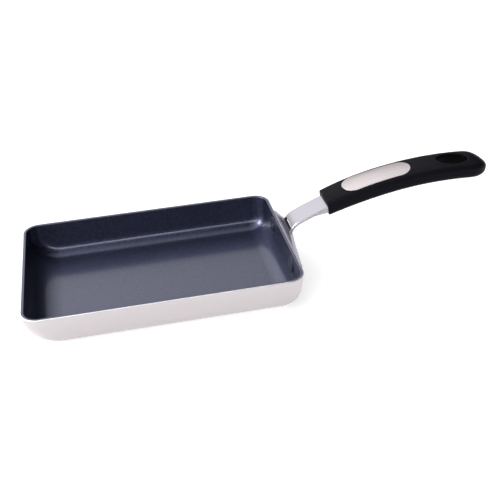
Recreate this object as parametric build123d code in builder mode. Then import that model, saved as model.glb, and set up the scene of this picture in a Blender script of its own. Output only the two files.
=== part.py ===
# Rectangular omelette pan: a pressed pan with a non-stick lining, a riveted steel neck and a moulded grip.
# The origin is the centre of the face that the pan rests on. +X runs towards the handle and +Z is up.
# Lengths are in millimetres and angles in degrees.

import os
from math import asin, cos, degrees, radians, sin, sqrt, tan

from build123d import *

os.makedirs("parts", exist_ok=True)

# Pan, measured outside
rim_length = 190
rim_width = 126
pan_depth = 27
pan_sheet = 2.3
end_draft = 3  # lean of the two short walls
side_draft = 12  # lean of the two long walls
toe_radius = 25  # floor to the far short wall, the ramp that an omelette is rolled up
heel_radius = 16  # floor to the short wall that carries the handle
side_radius = 12  # long walls to the floor and to the short walls
rim_round = 0.6
lining = 0.25  # thickness of the fired-on lining

# Rivets
rivet_pitch = 57
rivet_height = 18.3
shank_radius = 2.5
inner_head_radius = 6
inner_head_rise = 1.9
outer_head_radius = 4.6
outer_head_rise = 2
head_edge = 0.6
head_gap = 0.3  # round the inner head, in its flat spot
hole_gap = 0.1  # round a shank, here and under the grip

# Neck: one stamping, a wing plate that bends over the rim into a channel and ends as the tang
neck_sheet = 2
neck_width = 19.5
wing_height = 33  # of the wing's upper edge, where it meets the neck
wing_span = 87
ear_radius = 7  # of the wing's round ends
ear_height = 17.7
bend_radius = 14  # of the neck's upper face, from the wall to the bow
fold_round = 1.5
flange_reach = 14  # station from the rim where the folded sides begin to deepen
tang_flange = 4.4  # depth of the channel where the grip holds it
slot_length = 17
slot_width = 2.5
slot_turn = 31  # place of the slot on the bend, from level
slot_dip = 10  # of the direction that it is cut in
notch_radius = 1.2

# Grip: everything along it lies on one bow, struck from a centre far below
grip_bow = 270.5
crest_reach = 122.3  # from the rim to the bow's highest point
crest_rise = 43.9  # from the rim's height to the bow's highest point
grip_reach = 28.5  # from the rim to the grip's front, along X
grip_length = 124.8
tang_length = 48
hole_setback = 26.8  # from the grip's end to the middle of its hole
inlay_share = 0.316  # place of the inlay's middle along the grip
grip_height = 12
grip_front_width = 23.3
grip_waist_width = 26.6
grip_middle_width = 27.5
grip_tail_width = 28.3
waist_share = 0.22  # place of the waist width along the grip
middle_share = 0.49
crown_radius = 56
top_round_share = 0.3  # of the grip's height, as the two soft edges share its sides
low_round_share = 0.37
nose_share = 1.08  # length of the end where the top falls away faster, of the grip's height
nose_bow_share = 1.5
nose_turn = 75  # more than the nose needs
tail_length = 16  # the end, where the sides close in
front_lean = 10
front_round = 0.8
tang_cover = 4.8  # grip above the tang
tang_fit = 0.2
grip_hole_length = 23
grip_hole_width = 15
grip_hole_round = 1.2

# Inlay
inlay_length = 52
inlay_width = 19.4
inlay_sheet = 1
inlay_proud = 0.1
inlay_fit = 0.4
inlay_round = 0.3

# Screw and nut that hold the grip on the tang
screw_reach = 24  # from the grip's front
screw_radius = 2
screw_head_radius = 3.5
screw_head_height = 1.2
screw_sink = 1.3  # depth of the seat under the grip
screw_end = 0.6  # of the shank, past the nut
screw_fit = 0.3
thread_gap = 0.05
drive_width = 1
drive_length = 4.4
drive_depth = 0.6
nut_side = 7
nut_height = 2.2
nut_gap = 0.05  # its weld to the neck

overrun = 5  # how far a cut runs past what it cuts


def wall_place(half_rim, draft, inset, height):
    # How far a leaning wall stands from the middle at a height, once drawn in by inset.
    return half_rim - (pan_depth - height) * tan(radians(draft)) - inset / cos(radians(draft))


def pan_form(inset, top):
    # The pan's outside shape, drawn in by inset all round and filled up to the height top.
    end_low = wall_place(rim_length / 2, end_draft, inset, inset)
    end_high = wall_place(rim_length / 2, end_draft, inset, top)
    side_low = wall_place(rim_width / 2, side_draft, inset, inset)
    side_high = wall_place(rim_width / 2, side_draft, inset, top)
    with BuildPart() as form:
        with BuildSketch(Plane.XZ):
            with BuildLine():
                Polyline((-end_low, inset), (end_low, inset), (end_high, top), (-end_high, top), close=True)
            make_face()
            fillet(vertices().group_by(Axis.Y)[0].sort_by(Axis.X)[0], toe_radius - inset)
            fillet(vertices().group_by(Axis.Y)[0].sort_by(Axis.X)[-1], heel_radius - inset)
        extrude(amount=rim_width, both=True)
        with BuildSketch(Plane.YZ):
            with BuildLine():
                Polyline(
                    (-side_low, inset), (side_low, inset), (side_high, top), (-side_high, top), close=True
                )
            make_face()
        extrude(amount=rim_length, both=True, mode=Mode.INTERSECT)
        long_walls = faces().sort_by(Axis.Y)
        seams = long_walls[0].edges().sort_by(Axis.Z)[:-1] + long_walls[-1].edges().sort_by(Axis.Z)[:-1]
        fillet(seams, side_radius - inset)
    return form.part


def heel_plane(out):
    # A plane on the handle end's wall, out from its outer face, with its origin level with the rivets.
    lean = radians(end_draft)
    foot = (wall_place(rim_length / 2, end_draft, 0, rivet_height), 0, rivet_height)
    return Plane(origin=foot, x_dir=(0, 1, 0), z_dir=(cos(lean), 0, -sin(lean))).offset(out)


rivet_places = [(rivet_pitch / 2, 0), (-rivet_pitch / 2, 0)]

# The whole pan, metal and lining together
with BuildPart() as coated_pan:
    add(pan_form(0, pan_depth))
    add(pan_form(pan_sheet + lining, pan_depth + overrun), mode=Mode.SUBTRACT)
    fillet(faces().sort_by(Axis.Z)[-1].edges(), rim_round)

# The lining's space: inside the metal, over the rim's top and in the flat spot of each inner rivet head
with BuildPart() as lining_space:
    add(pan_form(pan_sheet, pan_depth + overrun))
    with BuildSketch(Plane.XY.offset(pan_depth - lining)):
        Rectangle(2 * rim_length, 2 * rim_width)
    extrude(amount=overrun)
    with BuildSketch(heel_plane(-pan_sheet)):
        with Locations(*rivet_places):
            Circle(inner_head_radius + head_gap + lining)
    extrude(amount=-overrun)

with BuildPart() as pan_body:
    add(coated_pan.part)
    add(lining_space.part, mode=Mode.SUBTRACT)
    with BuildSketch(heel_plane(overrun)):
        with Locations(*rivet_places):
            Circle(shank_radius + hole_gap)
    extrude(amount=-pan_sheet - 2 * overrun, mode=Mode.SUBTRACT)
pan_body.part.label = "pan_body"
export_step(pan_body.part, "parts/pan_body.step")

with BuildPart() as nonstick_coating:
    add(coated_pan.part)
    add(lining_space.part, mode=Mode.INTERSECT)
    with BuildSketch(heel_plane(-pan_sheet - lining)):
        with Locations(*rivet_places):
            Circle(inner_head_radius + head_gap)
    extrude(amount=-overrun, mode=Mode.SUBTRACT)
    with BuildSketch(heel_plane(0)):
        with Locations(*rivet_places):
            Circle(shank_radius + hole_gap)
    extrude(amount=-pan_sheet - overrun, mode=Mode.SUBTRACT)
nonstick_coating.part.label = "nonstick_coating"
export_step(nonstick_coating.part, "parts/nonstick_coating.step")


def make_rivet(place):
    # A round rivet: a coated low head inside the pan, and a formed head outside the neck's plate.
    wall = heel_plane(0)
    middle = wall.from_local_coords((place, 0, 0))
    seat = -pan_sheet - lining
    inner_top = seat - inner_head_rise
    outer_top = neck_sheet + outer_head_rise
    with BuildPart() as rivet:
        with BuildSketch(Plane(origin=middle, x_dir=wall.x_dir, z_dir=-wall.y_dir)):
            with BuildLine():
                TangentArc((0, outer_top), (outer_head_radius, neck_sheet + head_edge), tangent=(1, 0))
                Polyline(
                    (outer_head_radius, neck_sheet + head_edge),
                    (outer_head_radius, neck_sheet),
                    (shank_radius, neck_sheet),
                    (shank_radius, seat),
                    (inner_head_radius, seat),
                    (inner_head_radius, seat - head_edge),
                )
                TangentArc((0, inner_top), (inner_head_radius, seat - head_edge), tangent=(1, 0))
                Line((0, inner_top), (0, outer_top))
            make_face()
        revolve(axis=Axis(middle, wall.z_dir))
    return rivet.part


for name, place in (("rivet_far", rivet_pitch / 2), ("rivet_near", -rivet_pitch / 2)):
    rivet = make_rivet(place)
    rivet.label = name
    export_step(rivet, f"parts/{name}.step")

# The bow that the neck, tang and grip share
bow_x = rim_length / 2 + crest_reach
bow_z = pan_depth + crest_rise - grip_bow
front_station = rim_length / 2 + grip_reach
end_station = front_station + grip_length
nose_station = end_station - nose_share * grip_height
tang_station = front_station + tang_length
screw_station = front_station + screw_reach
inlay_station = front_station + inlay_share * grip_length
hole_station = end_station - hole_setback


def bow_lean(station):
    # Angle of the bow at a station, from level; negative while it still climbs.
    return asin((station - bow_x) / grip_bow)


def bow_point(station, depth):
    # Side-view place of the point that lies square below the bow at a station.
    lean = bow_lean(station)
    return (bow_x + (grip_bow - depth) * sin(lean), bow_z + (grip_bow - depth) * cos(lean))


def along_plane(station, depth):
    # A plane that touches the bow, with its X along the handle and its normal up.
    lean = bow_lean(station)
    x, z = bow_point(station, depth)
    return Plane(origin=(x, 0, z), x_dir=(cos(lean), 0, -sin(lean)), z_dir=(sin(lean), 0, cos(lean)))


def section_plane(station, radius):
    # A plane square across the bow, with its X across the handle and its Y up, from an arc's centre.
    lean = bow_lean(station)
    x, z = bow_point(station, radius)
    return Plane(origin=(x, 0, z), x_dir=(0, 1, 0), z_dir=(cos(lean), 0, -sin(lean)))


# The bend between the plate and the neck touches the wall at its start and the bow at its end
wall_out = (cos(radians(end_draft)), -sin(radians(end_draft)))
wall_up = (sin(radians(end_draft)), cos(radians(end_draft)))
bend_reach = grip_bow - tang_cover - bend_radius
rim_x = rim_length / 2 + bend_radius * wall_out[0] - bow_x
rim_z = pan_depth + bend_radius * wall_out[1] - bow_z
rim_climb = rim_x * wall_up[0] + rim_z * wall_up[1]
bend_climb = sqrt(bend_reach**2 - rim_x**2 - rim_z**2 + rim_climb**2) - rim_climb
bend_x = bow_x + rim_x + bend_climb * wall_up[0]
bend_z = bow_z + rim_z + bend_climb * wall_up[1]
bend_out = ((bend_x - bow_x) / bend_reach, (bend_z - bow_z) / bend_reach)


def bend_point(direction, inset):
    # Side-view place on the bend, in a direction from its centre.
    scale = (bend_radius - inset) / sqrt(direction[0] ** 2 + direction[1] ** 2)
    return (bend_x + scale * direction[0], bend_z + scale * direction[1])


def neck_line(inset):
    # The neck's side view, in by inset from its upper face: up the wall, over the bend, along the bow.
    foot = (wall_place(rim_length / 2, end_draft, -inset, 0), 0)
    bend_start = bend_point((-wall_out[0], -wall_out[1]), inset)
    bend_middle = bend_point((bend_out[0] - wall_out[0], bend_out[1] - wall_out[1]), inset)
    bend_end = bend_point(bend_out, inset)
    depth = tang_cover + inset
    Line(foot, bend_start)
    ThreePointArc(bend_start, bend_middle, bend_end)
    ThreePointArc(bend_end, bow_point(front_station, depth), bow_point(tang_station, depth))
    return foot


with BuildSketch() as neck_band:
    with BuildLine():
        upper_foot = neck_line(0)
        lower_foot = neck_line(neck_sheet)
        Line(upper_foot, lower_foot)
        Line(bow_point(tang_station, tang_cover), bow_point(tang_station, tang_cover + neck_sheet))
    make_face()

with BuildSketch() as flange_side:
    with BuildLine():
        flange_station = rim_length / 2 + flange_reach
        flange_low = tang_cover + tang_flange
        flange_high = tang_cover + fold_round
        flange_root = tang_cover + (fold_round + neck_sheet) / 2
        start_lean = bow_lean(flange_station)
        front_slope = bow_lean(front_station)
        middle_station = (front_station + tang_station) / 2
        Spline(
            bow_point(flange_station, flange_root),
            bow_point(front_station, flange_low),
            tangents=((cos(start_lean), -sin(start_lean)), (cos(front_slope), -sin(front_slope))),
        )
        ThreePointArc(
            bow_point(front_station, flange_low),
            bow_point(middle_station, flange_low),
            bow_point(tang_station, flange_low),
        )
        Line(bow_point(tang_station, flange_low), bow_point(tang_station, flange_high))
        ThreePointArc(
            bow_point(tang_station, flange_high),
            bow_point(front_station, flange_high),
            bow_point(flange_station, flange_high),
        )
        Line(bow_point(flange_station, flange_high), bow_point(flange_station, flange_root))
    make_face()

# The plate with its ears, trimmed from a wide stretch of the same band
ear_place = wing_span / 2 - ear_radius

with BuildPart() as wing_plate:
    with BuildSketch(Plane.XZ):
        add(neck_band.sketch)
    extrude(amount=wing_span, both=True)
    with BuildSketch(Plane.YZ):
        with Locations((ear_place, ear_height), (-ear_place, ear_height)):
            Circle(ear_radius)
        with Locations((0, ear_height)):
            Rectangle(neck_width, wing_height - ear_height, align=(Align.CENTER, Align.MIN))
        make_hull()
    extrude(amount=rim_length, mode=Mode.INTERSECT)

with BuildPart() as neck_bracket:
    # The strip, with its folds rounded
    with BuildSketch(Plane.XZ):
        add(neck_band.sketch)
    extrude(amount=neck_width / 2, both=True)
    sides = (faces().sort_by(Axis.Y)[0], faces().sort_by(Axis.Y)[-1])
    folds = [side.edges().filter_by(GeomType.CIRCLE).sort_by(SortBy.RADIUS)[-1] for side in sides]
    fillet(folds, fold_round)
    # It ends inside the plate
    with BuildSketch(Plane.XY):
        Rectangle(2 * rim_length, rim_width)
    extrude(amount=ear_height, mode=Mode.SUBTRACT)
    add(wing_plate.part)
    for side in (-1, 1):
        with BuildSketch(Plane.XZ.offset(side * neck_width / 2)):
            add(flange_side.sketch)
        extrude(amount=-side * neck_sheet)
    # The slot that keeps heat from the grip, and a relief cut beside each fold
    slot_lean = radians(slot_turn)
    slot_x, slot_z = bend_point((-cos(slot_lean), sin(slot_lean)), 0)
    slot_way = (-cos(radians(slot_dip)), 0, sin(radians(slot_dip)))
    slot_plane = Plane(origin=(slot_x, 0, slot_z), x_dir=(0, 1, 0), z_dir=slot_way)
    with BuildSketch(slot_plane):
        SlotOverall(slot_length, slot_width)
    extrude(amount=neck_sheet + notch_radius, both=True, mode=Mode.SUBTRACT)
    notch_place = neck_width / 2 + notch_radius
    with BuildSketch(Plane.YZ.offset(rim_length / 2 - overrun)):
        with Locations((notch_place, wing_height), (-notch_place, wing_height)):
            Circle(notch_radius)
    extrude(amount=2 * overrun + neck_sheet, mode=Mode.SUBTRACT)
    with BuildSketch(heel_plane(-overrun)):
        with Locations(*rivet_places):
            Circle(shank_radius + hole_gap)
    extrude(amount=neck_sheet + 2 * overrun, mode=Mode.SUBTRACT)
    with BuildSketch(along_plane(screw_station, tang_cover)):
        Circle(screw_radius + hole_gap)
    extrude(amount=neck_sheet + hole_gap, both=True, mode=Mode.SUBTRACT)
neck_bracket.part.label = "neck_bracket"
export_step(neck_bracket.part, "parts/neck_bracket.step")


def crown_section(radius, high, low, width):
    # A crowned slice between two heights from an arc's crest, drawn on the open plane.
    with Locations((0, radius - crown_radius)):
        Circle(crown_radius + high)
    with Locations((0, radius + high)):
        Rectangle(width, high - low, align=(Align.CENTER, Align.MAX), mode=Mode.INTERSECT)


def outline_place(station):
    # Where a station lies on the outline's plane, which touches the bow at the grip's end.
    return grip_bow * sin(bow_lean(station) - bow_lean(end_station))


def inlay_form(grow, high, low):
    # A stadium of the crowned surface, between two heights from it.
    with BuildPart() as form:
        band_start = inlay_station - inlay_length
        band_turn = degrees(bow_lean(inlay_station + inlay_length) - bow_lean(band_start))
        with BuildSketch(section_plane(band_start, grip_bow)):
            crown_section(grip_bow, high, low, grip_tail_width)
            with Locations((0, grip_bow - crown_radius)):
                Circle(crown_radius + low, mode=Mode.SUBTRACT)
        revolve(axis=Axis((bow_x, 0, bow_z), (0, 1, 0)), revolution_arc=band_turn)
        with BuildSketch(along_plane(inlay_station, 0)):
            SlotOverall(inlay_length + 2 * grow, inlay_width + 2 * grow)
        extrude(amount=grip_height, both=True, mode=Mode.INTERSECT)
    return form.part


with BuildPart() as grip:
    # A bar with a crowned top follows the bow, then a tighter one drops to the nose
    bar_start = front_station - 2 * overrun
    bar_turn = degrees(bow_lean(nose_station) - bow_lean(bar_start))
    bar_width = grip_tail_width + 2 * overrun
    bar_depth = grip_height + overrun
    nose_bow = nose_bow_share * grip_height
    nose_x, nose_z = bow_point(nose_station, nose_bow)
    with BuildSketch(section_plane(bar_start, grip_bow)):
        crown_section(grip_bow, 0, -bar_depth, bar_width)
    revolve(axis=Axis((bow_x, 0, bow_z), (0, 1, 0)), revolution_arc=bar_turn)
    with BuildSketch(section_plane(nose_station, nose_bow)):
        crown_section(nose_bow, 0, -bar_depth, bar_width)
    revolve(axis=Axis((nose_x, 0, nose_z), (0, 1, 0)), revolution_arc=nose_turn)
    # Its underside, its front and its outline from above
    with BuildSketch(Plane.XZ):
        with Locations((bow_x, bow_z)):
            Circle(grip_bow - grip_height)
    extrude(amount=bar_width, both=True, mode=Mode.SUBTRACT)
    front_x, front_z = bow_point(front_station, 0)
    front_slant = tan(radians(front_lean))
    with BuildSketch(Plane.XZ):
        with BuildLine():
            Polyline(
                (front_x - grip_height * front_slant, front_z + grip_height),
                (front_x + 2 * grip_height * front_slant, front_z - 2 * grip_height),
                (end_station + overrun, front_z - 2 * grip_height),
                (end_station + overrun, front_z + grip_length),
                (front_x - grip_height * front_slant, front_z + grip_length),
                close=True,
            )
        make_face()
    extrude(amount=bar_width, both=True, mode=Mode.INTERSECT)
    brow = grip_front_width / 2
    tail = grip_tail_width / 2
    outline_start = outline_place(front_station)
    with BuildSketch(along_plane(end_station, 0)):
        with BuildLine():
            Line((outline_start - overrun, brow), (outline_start, brow))
            Spline(
                (outline_start, brow),
                (outline_place(front_station + waist_share * grip_length), grip_waist_width / 2),
                (outline_place(front_station + middle_share * grip_length), grip_middle_width / 2),
                (-tail_length, tail),
                tangents=((1, brow / grip_length), (1, 0)),
            )
            mirror(about=Plane.XZ)
            EllipticalCenterArc((-tail_length, 0), tail_length, tail, -90, arc_size=180)
            Line((outline_start - overrun, brow), (outline_start - overrun, -brow))
        make_face()
    extrude(amount=grip_length, both=True, mode=Mode.INTERSECT)
    # The hole that the pan hangs by
    hole_plane = along_plane(hole_station, 0)
    with BuildSketch(hole_plane):
        Ellipse(grip_hole_length / 2, grip_hole_width / 2)
    extrude(amount=bar_depth, both=True, mode=Mode.SUBTRACT)
    hole_axis = Axis(hole_plane.origin, hole_plane.z_dir)
    fillet(edges(Select.LAST).filter_by(hole_axis, reverse=True), grip_hole_round)
    # Soft edges, above, below and round the front
    long_edges = edges().filter_by(lambda edge: edge.length > grip_length / 2).sort_by(Axis.Z)
    fillet(long_edges[-2:], top_round_share * grip_height)
    long_edges = edges().filter_by(lambda edge: edge.length > grip_length / 2).sort_by(Axis.Z)
    fillet(long_edges[:2], low_round_share * grip_height)
    fillet(faces().sort_by(Axis.X)[0].edges(), front_round)
    # The socket for the tang
    socket_station = tang_station + tang_fit
    with BuildSketch(Plane.XZ):
        with BuildLine():
            socket_high = tang_cover - tang_fit
            socket_low = tang_cover + tang_flange + tang_fit
            middle_station = (bar_start + socket_station) / 2
            for depth in (socket_high, socket_low):
                ThreePointArc(
                    bow_point(bar_start, depth),
                    bow_point(middle_station, depth),
                    bow_point(socket_station, depth),
                )
            Line(bow_point(bar_start, socket_high), bow_point(bar_start, socket_low))
            Line(bow_point(socket_station, socket_high), bow_point(socket_station, socket_low))
        make_face()
    extrude(amount=neck_width / 2 + tang_fit, both=True, mode=Mode.SUBTRACT)
    # The bed of the inlay
    add(inlay_form(inlay_fit, overrun, inlay_proud - inlay_sheet), mode=Mode.SUBTRACT)
    # The screw's hole and its seat, from below
    with BuildSketch(along_plane(screw_station, grip_height - screw_sink)):
        Circle(screw_head_radius + screw_fit)
    extrude(amount=-overrun, mode=Mode.SUBTRACT)
    with BuildSketch(along_plane(screw_station, grip_height)):
        Circle(screw_radius + hole_gap)
    extrude(amount=grip_height - tang_cover - neck_sheet, mode=Mode.SUBTRACT)
grip.part.label = "grip"
export_step(grip.part, "parts/grip.step")

with BuildPart() as inlay_plate:
    add(inlay_form(0, inlay_proud, inlay_proud - inlay_sheet))
    upper_face = faces().sort_by(SortBy.AREA)[-2:].sort_by(Axis.Z)[-1]
    fillet(upper_face.edges(), inlay_round)
inlay_plate.part.label = "inlay_plate"
export_step(inlay_plate.part, "parts/inlay_plate.step")

# The nut is welded under the tang, and the screw comes up to it through the grip
nut_seat = tang_cover + neck_sheet + nut_gap

with BuildPart() as tang_nut:
    with BuildSketch(along_plane(screw_station, nut_seat)):
        Rectangle(nut_side, nut_side)
        Circle(screw_radius + thread_gap, mode=Mode.SUBTRACT)
    extrude(amount=-nut_height)
tang_nut.part.label = "tang_nut"
export_step(tang_nut.part, "parts/tang_nut.step")

with BuildPart() as grip_screw:
    with BuildSketch(along_plane(screw_station, grip_height - screw_sink)):
        Circle(screw_head_radius)
    extrude(amount=-screw_head_height)
    rim = edges().filter_by(GeomType.CIRCLE).sort_by(Axis.Z)[0]
    fillet(rim, head_edge)
    with BuildSketch(along_plane(screw_station, grip_height - screw_sink)):
        Circle(screw_radius)
    extrude(amount=grip_height - screw_sink - nut_seat + screw_end)
    with BuildSketch(along_plane(screw_station, grip_height - screw_sink + screw_head_height)):
        Rectangle(drive_length, drive_width)
        Rectangle(drive_width, drive_length)
    extrude(amount=drive_depth, mode=Mode.SUBTRACT)
grip_screw.part.label = "grip_screw"
export_step(grip_screw.part, "parts/grip_screw.step")
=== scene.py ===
# Looks of the rectangular omelette pan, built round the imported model.
# Lengths are in metres, angles in degrees.
import math

import bpy
from mathutils import Matrix, Vector

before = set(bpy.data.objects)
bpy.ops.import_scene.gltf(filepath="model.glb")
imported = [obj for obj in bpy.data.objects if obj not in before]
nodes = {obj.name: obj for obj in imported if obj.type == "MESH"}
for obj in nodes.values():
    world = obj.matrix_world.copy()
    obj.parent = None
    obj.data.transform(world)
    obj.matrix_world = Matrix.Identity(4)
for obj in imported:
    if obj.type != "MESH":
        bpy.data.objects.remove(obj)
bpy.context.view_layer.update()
bpy.ops.object.select_all(action="DESELECT")
print("frame loaded:", ", ".join(sorted(nodes)))


# Camera, matched to the photograph's outline of the pan
view = {
    "place": (-0.02708, -0.49941, 0.33893),
    "yaw": 10.837,
    "pitch": 32.411,
    "roll": -2.433,
    "lens": 58.805,
    "shift": 0.001,
    "clipStart": 0.01,
}


def turned(angle, axis):
    return Matrix.Rotation(math.radians(angle), 4, axis)


bpy.ops.object.camera_add()
camera = bpy.context.object
camera.name = "camera"
camera.data.lens = view["lens"]
camera.data.shift_x = -view["shift"]
camera.data.shift_y = view["shift"]
camera.data.clip_start = view["clipStart"]
camera.matrix_world = (
    Matrix.Translation(view["place"])
    @ turned(-view["yaw"], "Z")
    @ turned(90 - view["pitch"], "X")
    @ turned(view["roll"], "Z")
)
bpy.context.scene.camera = camera
bpy.context.scene.view_settings.view_transform = "Standard"
print("camera placed")


# Small helpers for node trees
# A value is a number, a colour, a vector or the socket that it comes from.
def addNode(tree, kind, place, **settings):
    node = tree.nodes.new(kind)
    node.location = place
    for name, value in settings.items():
        setattr(node, name, value)
    return node


def feed(tree, value, socket):
    if isinstance(value, bpy.types.NodeSocket):
        tree.links.new(value, socket)
    elif value is not None:
        socket.default_value = value


def numberNode(tree, operation, place, first, second=None):
    node = addNode(tree, "ShaderNodeMath", place, operation=operation)
    feed(tree, first, node.inputs[0])
    feed(tree, second, node.inputs[1])
    return node.outputs["Value"]


def vectorNode(tree, operation, place, first, second=None):
    node = addNode(tree, "ShaderNodeVectorMath", place, operation=operation)
    feed(tree, first, node.inputs[0])
    feed(tree, second, node.inputs[1])
    return node.outputs["Value" if operation in ("DOT_PRODUCT", "LENGTH") else "Vector"]


def rangeNode(tree, place, value, low, high, newLow=0.0, newHigh=1.0):
    node = addNode(tree, "ShaderNodeMapRange", place)
    ends = {"Value": value, "From Min": low, "From Max": high, "To Min": newLow, "To Max": newHigh}
    for name, number in ends.items():
        feed(tree, number, node.inputs[name])
    return node.outputs["Result"]


def noiseNode(tree, place, coords, scale, detail):
    node = addNode(tree, "ShaderNodeTexNoise", place)
    feed(tree, coords, node.inputs["Vector"])
    feed(tree, scale, node.inputs["Scale"])
    feed(tree, detail, node.inputs["Detail"])
    return node.outputs["Fac"]


def mixColours(tree, place, factor, first, second):
    node = addNode(tree, "ShaderNodeMix", place, data_type="RGBA")
    feed(tree, factor, node.inputs["Factor"])
    colourA, colourB, mixed = node.inputs[6], node.inputs[7], node.outputs[2]
    for value, socket in ((first, colourA), (second, colourB)):
        feed(tree, (*value, 1) if isinstance(value, tuple) else value, socket)
    return mixed


def objectCoords(tree, place):
    return addNode(tree, "ShaderNodeTexCoord", place).outputs["Object"]


def newGroup(name, inputs, outputs):
    group = bpy.data.node_groups.new(name, "ShaderNodeTree")
    for label, default in inputs.items():
        socket = group.interface.new_socket(label, in_out="INPUT", socket_type="NodeSocketFloat")
        socket.default_value = default
    for label in outputs:
        group.interface.new_socket(label, in_out="OUTPUT", socket_type="NodeSocketFloat")
    entry = addNode(group, "NodeGroupInput", (-900, 0))
    leave = addNode(group, "NodeGroupOutput", (700, 0))
    return group, entry.outputs, leave.inputs


def useGroup(tree, group, place, **values):
    node = addNode(tree, "ShaderNodeGroup", place, node_tree=group)
    for name, value in values.items():
        feed(tree, value, node.inputs[name])
    return node.outputs


# Grain: mottling and fine speckle on Object coordinates
grainPattern = {
    "detail": 3,
    "mottleFrom": (0.3, 0.7),
    "dotFrom": (0.45, 0.15),  # a dot fades in from the first distance to the second
}
inputs = {"Coarse": 500, "Fine": 2000, "Speckle": 0.5}
grain, entry, leave = newGroup("grain", inputs, ("Mottle", "Flecks"))
coords = objectCoords(grain, (-900, 300))
mottle = noiseNode(grain, (-600, 200), coords, entry["Coarse"], grainPattern["detail"])
feed(grain, rangeNode(grain, (-300, 200), mottle, *grainPattern["mottleFrom"]), leave["Mottle"])
dots = addNode(grain, "ShaderNodeTexVoronoi", (-600, -200))
feed(grain, coords, dots.inputs["Vector"])
feed(grain, entry["Fine"], dots.inputs["Scale"])
dotColour = addNode(grain, "ShaderNodeSeparateColor", (-350, -300))
feed(grain, dots.outputs["Color"], dotColour.inputs["Color"])
chosen = numberNode(grain, "LESS_THAN", (-100, -300), dotColour.outputs["Red"], entry["Speckle"])
near = rangeNode(grain, (-100, -100), dots.outputs["Distance"], *grainPattern["dotFrom"])
feed(grain, numberNode(grain, "MULTIPLY", (200, -200), near, chosen), leave["Flecks"])

# Hairlines: a brushed finish that runs along X, with Y squeezed
hairlinePattern = {
    "from": (0.3, 0.7),
    "Lines": {"scale": 1.0, "detail": 2, "row": 250},
    "Bands": {"scale": 0.12, "detail": 4, "row": -100},
}
hairlines, entry, leave = newGroup("hairlines", {"Along": 15, "Across": 3500}, ("Lines", "Bands"))
scales = addNode(hairlines, "ShaderNodeCombineXYZ", (-650, 100))
for axis, label in (("X", "Along"), ("Y", "Across"), ("Z", "Along")):
    feed(hairlines, entry[label], scales.inputs[axis])
coords = objectCoords(hairlines, (-900, 300))
stretched = vectorNode(hairlines, "MULTIPLY", (-400, 200), coords, scales.outputs["Vector"])
for label in ("Lines", "Bands"):
    pattern = hairlinePattern[label]
    row = pattern["row"]
    noise = noiseNode(hairlines, (-100, row), stretched, pattern["scale"], pattern["detail"])
    spread = rangeNode(hairlines, (200, row), noise, *hairlinePattern["from"])
    feed(hairlines, spread, leave[label])

# Edge wear: how far the rounded normal leaves the true one, broken up by noise
wearPattern = {
    "samples": 4,
    "cornerFrom": (0.98, 0.8),
    "detail": 2,
    "unevenFrom": (0.35, 0.65),
    "unevenTo": (0.25, 1.0),
}
edgeWear, entry, leave = newGroup("edgeWear", {"Radius": 0.0004, "Breakup": 300}, ("Edge",))
rounded = addNode(edgeWear, "ShaderNodeBevel", (-600, 200), samples=wearPattern["samples"])
feed(edgeWear, entry["Radius"], rounded.inputs["Radius"])
trueNormal = addNode(edgeWear, "ShaderNodeNewGeometry", (-600, 0)).outputs["Normal"]
agree = vectorNode(edgeWear, "DOT_PRODUCT", (-350, 100), rounded.outputs["Normal"], trueNormal)
corner = rangeNode(edgeWear, (-100, 100), agree, *wearPattern["cornerFrom"])
coords = objectCoords(edgeWear, (-900, -200))
patches = noiseNode(edgeWear, (-600, -200), coords, entry["Breakup"], wearPattern["detail"])
ends = (*wearPattern["unevenFrom"], *wearPattern["unevenTo"])
uneven = rangeNode(edgeWear, (-100, -200), patches, *ends)
feed(edgeWear, numberNode(edgeWear, "MULTIPLY", (200, 0), corner, uneven), leave["Edge"])
print("node groups made")


# Helpers for materials
def newMaterial(name, colour, **values):
    material = bpy.data.materials.new(name)
    material.use_nodes = True
    tree = material.node_tree
    shader = tree.nodes["Principled BSDF"].inputs
    shader["Base Color"].default_value = (*colour, 1)
    for label, value in values.items():
        shader[label.replace("_", " ")].default_value = value
    return material, tree, shader


def addRoughness(tree, shader, pattern, values):
    rough = rangeNode(tree, (-300, -100), pattern, 0, 1, *values["roughness"])
    feed(tree, rough, shader["Roughness"])


def addBump(tree, shader, height, values):
    bump = addNode(tree, "ShaderNodeBump", (-250, -400))
    feed(tree, values["bump"], bump.inputs["Strength"])
    feed(tree, values["bumpDepth"], bump.inputs["Distance"])
    feed(tree, height, bump.inputs["Height"])
    feed(tree, bump.outputs["Normal"], shader["Normal"])


def wornColour(tree, base, worn, values):
    amounts = {"Radius": values["edgeRadius"], "Breakup": values["breakup"]}
    wear = useGroup(tree, edgeWear, (-900, 350), **amounts)
    return mixColours(tree, (-500, 250), wear["Edge"], base, worn)


def dress(nodeName, material):
    for slot in nodes[nodeName].material_slots:
        slot.material = material
    print("dressed", nodeName, "in", material.name)


# Fired-on lining: dark blue-grey, speckled, satin
lining = {
    "dark": (0.036, 0.041, 0.082),
    "light": (0.050, 0.055, 0.102),
    "fleck": (0.200, 0.205, 0.270),
    "fleckAmount": 0.3,
    "coarse": 450,
    "fine": 1500,
    "speckle": 0.3,
    "metallic": 0.95,
    "roughness": (0.42, 0.50),
    "coat": 0.75,
    "coatRoughness": 0.16,
    "bump": 0.12,
    "bumpDepth": 0.00008,
    "trim": (0.90, 0.89, 0.92),
    "trimFrom": 0.004,  # how far out a face looks, times its distance from the pan's middle
    "levelOnly": (1, 1, 0),
}


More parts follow.
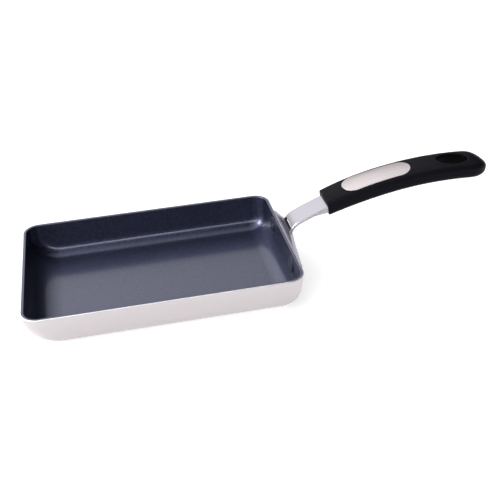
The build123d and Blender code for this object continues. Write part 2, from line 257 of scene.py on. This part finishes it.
def makeLining(name):
    material, tree, shader = newMaterial(
        name,
        lining["dark"],
        Metallic=lining["metallic"],
        Coat_Weight=lining["coat"],
        Coat_Roughness=lining["coatRoughness"],
    )
    amounts = {"Coarse": lining["coarse"], "Fine": lining["fine"], "Speckle": lining["speckle"]}
    texture = useGroup(tree, grain, (-900, 100), **amounts)
    ground = mixColours(tree, (-550, 250), texture["Mottle"], lining["dark"], lining["light"])
    flecks = numberNode(tree, "MULTIPLY", (-550, 50), texture["Flecks"], lining["fleckAmount"])
    fired = mixColours(tree, (-250, 200), flecks, ground, lining["fleck"])
    addRoughness(tree, shader, texture["Mottle"], lining)
    height = numberNode(tree, "ADD", (-550, -400), texture["Mottle"], texture["Flecks"])
    addBump(tree, shader, height, lining)
    return material, tree, shader, fired


# The lining is trimmed at the rim's outer edge, so those of its faces that look outwards are bare
firedLining, tree, shader, fired = makeLining("firedLining")
facing = addNode(tree, "ShaderNodeNewGeometry", (-1500, 700)).outputs["True Normal"]
coords = objectCoords(tree, (-1500, 500))
level = vectorNode(tree, "MULTIPLY", (-1300, 500), coords, lining["levelOnly"])
outward = vectorNode(tree, "DOT_PRODUCT", (-1100, 600), facing, level)
trimmed = numberNode(tree, "GREATER_THAN", (-900, 600), outward, lining["trimFrom"])
feed(tree, mixColours(tree, (0, 500), trimmed, fired, lining["trim"]), shader["Base Color"])
dress("nonstick_coating", firedLining)


# Bare pressed aluminium outside and at the rim
pressing = {
    "metallic": 1.0,
    "colour": (0.585, 0.549, 0.560),
    "bright": (0.95, 0.93, 0.95),
    "roughness": (0.30, 0.42),
    "coarse": 120,
    "along": 25,
    "across": 900,
    "edgeRadius": 0.0006,
    "breakup": 200,
    "bump": 0.04,
    "bumpDepth": 0.00004,
}
pressedAluminium, tree, shader = newMaterial(
    "pressedAluminium", pressing["colour"], Metallic=pressing["metallic"]
)
lines = useGroup(tree, hairlines, (-900, 100), Along=pressing["along"], Across=pressing["across"])
mottled = useGroup(tree, grain, (-900, -150), Coarse=pressing["coarse"])
feed(tree, wornColour(tree, pressing["colour"], pressing["bright"], pressing), shader["Base Color"])
finish = numberNode(tree, "MULTIPLY", (-600, -100), lines["Bands"], mottled["Mottle"])
addRoughness(tree, shader, finish, pressing)
addBump(tree, shader, lines["Lines"], pressing)
dress("pan_body", pressedAluminium)


# Plated steel of the neck, its nut and the screw
# The walls of the slot across the bend are painted near-black and not metallic: painted shade.
steel = {
    "metallic": 1.0,
    "colour": (0.40, 0.385, 0.425),
    "bright": (0.72, 0.71, 0.74),
    "roughness": (0.26, 0.40),
    "along": 20,
    "across": 4200,
    "edgeRadius": 0.0004,
    "breakup": 500,
    "bump": 0.08,
    "bumpDepth": 0.00003,
    "slotPlace": (0.09705, 0, 0.03484),
    "slotCut": (0.1736, 0, 0.9848),  # straight across the slot's two long walls
    "slotHalf": 0.00135,
    "slotSide": 0.0087,
    "slotEnd": 0.102,
    # painted shade for the slot's walls
    "paintedSlotShade": (0.010, 0.012, 0.020),
}
platedSteel, tree, shader = newMaterial(
    "platedSteel", steel["colour"], Metallic=steel["metallic"]
)
lines = useGroup(tree, hairlines, (-900, 100), Along=steel["along"], Across=steel["across"])
plated = wornColour(tree, steel["colour"], steel["bright"], steel)
coords = objectCoords(tree, (-1500, 700))
place = addNode(tree, "ShaderNodeSeparateXYZ", (-1100, 600))
feed(tree, coords, place.inputs["Vector"])
fromSlot = vectorNode(tree, "SUBTRACT", (-1300, 700), coords, steel["slotPlace"])
acrossSlot = vectorNode(tree, "DOT_PRODUCT", (-1100, 800), fromSlot, steel["slotCut"])
offCut = numberNode(tree, "ABSOLUTE", (-900, 800), acrossSlot)
offMiddle = numberNode(tree, "ABSOLUTE", (-900, 600), place.outputs["Y"])
inCut = numberNode(tree, "LESS_THAN", (-700, 800), offCut, steel["slotHalf"])
inWidth = numberNode(tree, "LESS_THAN", (-700, 600), offMiddle, steel["slotSide"])
beforeBow = numberNode(tree, "LESS_THAN", (-700, 400), place.outputs["X"], steel["slotEnd"])
inBoth = numberNode(tree, "MULTIPLY", (-600, 700), inCut, inWidth)
inSlot = numberNode(tree, "MULTIPLY", (-500, 700), inBoth, beforeBow)
# Painted shade: inside the slot the colour turns near-black and the metal is switched off.
feed(tree, mixColours(tree, (-250, 250), inSlot, plated, steel["paintedSlotShade"]), shader["Base Color"])
feed(tree, numberNode(tree, "SUBTRACT", (-250, 500), 1.0, inSlot), shader["Metallic"])
addRoughness(tree, shader, lines["Lines"], steel)
addBump(tree, shader, lines["Lines"], steel)
for name in ("neck_bracket", "tang_nut", "grip_screw"):
    dress(name, platedSteel)


# Rivets: coated head inside the pan, bare head outside, parted in the wall; the coated head is
# lighter than the lining as painted sheen
rivet = {
    "bare": (0.66, 0.64, 0.66),
    "coat": (0.085, 0.092, 0.135),
    "paintedSheen": 0.6,
    "coatedUpTo": 0.0935,
}
coatedRivet, tree, shader, fired = makeLining("coatedRivet")
place = addNode(tree, "ShaderNodeSeparateXYZ", (-1000, 600))
feed(tree, objectCoords(tree, (-1200, 600)), place.inputs["Vector"])
outside = numberNode(tree, "GREATER_THAN", (-800, 600), place.outputs["X"], rivet["coatedUpTo"])
# Painted sheen: the coated head is mixed part way towards a lighter coat colour.
sheenedRivetCoat = mixColours(tree, (-200, 500), rivet["paintedSheen"], fired, rivet["coat"])
feed(tree, mixColours(tree, (0, 500), outside, sheenedRivetCoat, rivet["bare"]), shader["Base Color"])
for name in ("rivet_far", "rivet_near"):
    dress(name, coatedRivet)


# Black moulded grip: painted shade darkens the hanging hole, and the edges are lighter, partly wear
# and partly painted sheen
moulding = {
    "colour": (0.0066, 0.0067, 0.0100),
    "paintedSheen": (0.018, 0.018, 0.024),
    "paintedHoleShade": (0.0010, 0.0010, 0.0012),
    "holePlace": (0.2215, 0, 0),
    "holeShare": (83, 123, 0),  # one over the hole's half length and half width
    "holeFrom": (1.0, 0.94),
    "roughness": (0.42, 0.52),
    "specular": 0.05,
    "coarse": 2600,
    "edgeRadius": 0.0012,
    "breakup": 250,
    "bump": 0.10,
    "bumpDepth": 0.00005,
}
blackMoulding, tree, shader = newMaterial(
    "blackMoulding", moulding["colour"], Specular_IOR_Level=moulding["specular"]
)
texture = useGroup(tree, grain, (-900, 100), Coarse=moulding["coarse"])
# Edges lighter through the edge-wear mask: partly wear, partly painted sheen.
moulded = wornColour(tree, moulding["colour"], moulding["paintedSheen"], moulding)
coords = objectCoords(tree, (-1500, 700))
fromHole = vectorNode(tree, "SUBTRACT", (-1300, 700), coords, moulding["holePlace"])
shareOfHole = vectorNode(tree, "MULTIPLY", (-1100, 700), fromHole, moulding["holeShare"])
outOfHole = vectorNode(tree, "LENGTH", (-900, 700), shareOfHole)
inHole = rangeNode(tree, (-700, 700), outOfHole, *moulding["holeFrom"])
# Painted shade: the hanging hole fades to a near-black colour.
feed(tree, mixColours(tree, (-250, 250), inHole, moulded, moulding["paintedHoleShade"]), shader["Base Color"])
addRoughness(tree, shader, texture["Mottle"], moulding)
addBump(tree, shader, texture["Mottle"], moulding)
dress("grip", blackMoulding)


# Brushed inlay with a bright rim
inlay = {
    "metallic": 1.0,
    "colour": (0.43, 0.388, 0.398),
    "between": (0.56, 0.51, 0.51),
    "bright": (0.80, 0.78, 0.79),
    "roughness": (0.30, 0.42),
    "along": 30,
    "across": 2600,
    "edgeRadius": 0.0005,
    "breakup": 400,
    "bump": 0.16,
    "bumpDepth": 0.00004,
}
brushedInlay, tree, shader = newMaterial(
    "brushedInlay", inlay["colour"], Metallic=inlay["metallic"]
)
lines = useGroup(tree, hairlines, (-900, 100), Along=inlay["along"], Across=inlay["across"])
brushed = mixColours(tree, (-700, 250), lines["Lines"], inlay["colour"], inlay["between"])
feed(tree, wornColour(tree, brushed, inlay["bright"], inlay), shader["Base Color"])
addRoughness(tree, shader, lines["Lines"], inlay)
addBump(tree, shader, lines["Lines"], inlay)
dress("inlay_plate", brushedInlay)


# Studio: a pale floor, three softboxes, and a surround that the camera sees as white
studio = {
    "white": (1.0, 1.0, 1.0),
    "floorSize": 12,
    "floorCuts": 3,
    "floorColour": (0.80, 0.80, 0.80),
    "floorRoughness": 0.9,
    "floorSpecular": 0.0,
    "floorGlow": 0.55,
    "skyLean": (-0.45, 0.40, 0.80),
    "skyFrom": (0.42, 0.95),
    "skyTo": (0.01, 1.5),
    "lampAim": (0.05, 0, 0.02),
}
lamps = {
    "backSoftbox": {
        "turn": -6, "height": 42, "reach": 1.5,
        "wide": 1.8, "tall": 1.4, "power": 4.6, "lightsMatt": True,
    },
    "keySoftbox": {
        "turn": -140, "height": 36, "reach": 1.2,
        "wide": 2.6, "tall": 0.26, "power": 12, "lightsMatt": True,
    },
    "cornerGlint": {  # draws one bright spot on glossy surfaces and lights nothing else
        "turn": -92, "height": 38, "reach": 1.2,
        "wide": 0.34, "tall": 0.34, "power": 11, "lightsMatt": False,
    },
}
bpy.ops.mesh.primitive_plane_add(size=studio["floorSize"], location=(0, 0, 0))
floor = bpy.context.object
floor.name = "floor"
bpy.ops.object.mode_set(mode="EDIT")
bpy.ops.mesh.select_all(action="SELECT")
bpy.ops.mesh.subdivide(number_cuts=studio["floorCuts"])
bpy.ops.object.mode_set(mode="OBJECT")
paleFloor, tree, shader = newMaterial(
    "paleFloor",
    studio["floorColour"],
    Roughness=studio["floorRoughness"],
    Specular_IOR_Level=studio["floorSpecular"],
)
ray = addNode(tree, "ShaderNodeLightPath", (-900, 0)).outputs
seen = numberNode(tree, "MAXIMUM", (-650, 0), ray["Is Camera Ray"], ray["Is Glossy Ray"])
seen = numberNode(tree, "MAXIMUM", (-450, 0), seen, ray["Is Transmission Ray"])
shader["Emission Color"].default_value = (*studio["white"], 1)
glow = numberNode(tree, "MULTIPLY", (-250, 0), seen, studio["floorGlow"])
feed(tree, glow, shader["Emission Strength"])
floor.data.materials.append(paleFloor)

world = bpy.data.worlds.new("softSurround")
bpy.context.scene.world = world
world.use_nodes = True
tree = world.node_tree
ray = addNode(tree, "ShaderNodeLightPath", (-1100, 200)).outputs
way = addNode(tree, "ShaderNodeTexCoord", (-1100, -200)).outputs["Generated"]
lean = vectorNode(tree, "DOT_PRODUCT", (-900, -200), way, studio["skyLean"])
sky = rangeNode(tree, (-650, -200), lean, *studio["skyFrom"], *studio["skyTo"])
shown = mixColours(tree, (-200, 0), ray["Is Camera Ray"], sky, studio["white"])
feed(tree, shown, tree.nodes["Background"].inputs["Color"])

for name, lamp in lamps.items():
    turn, height = math.radians(lamp["turn"]), math.radians(lamp["height"])
    level = math.cos(height)
    way = Vector((math.sin(turn) * level, math.cos(turn) * level, math.sin(height)))
    bpy.ops.object.light_add(type="AREA", location=Vector(studio["lampAim"]) + lamp["reach"] * way)
    softbox = bpy.context.object
    softbox.name = name
    softbox.data.shape = "RECTANGLE"
    softbox.data.size = lamp["wide"]
    softbox.data.size_y = lamp["tall"]
    softbox.data.energy = lamp["power"]
    softbox.visible_diffuse = lamp["lightsMatt"]
    softbox.rotation_euler = way.to_track_quat("Z", "Y").to_euler()
print("studio lit")
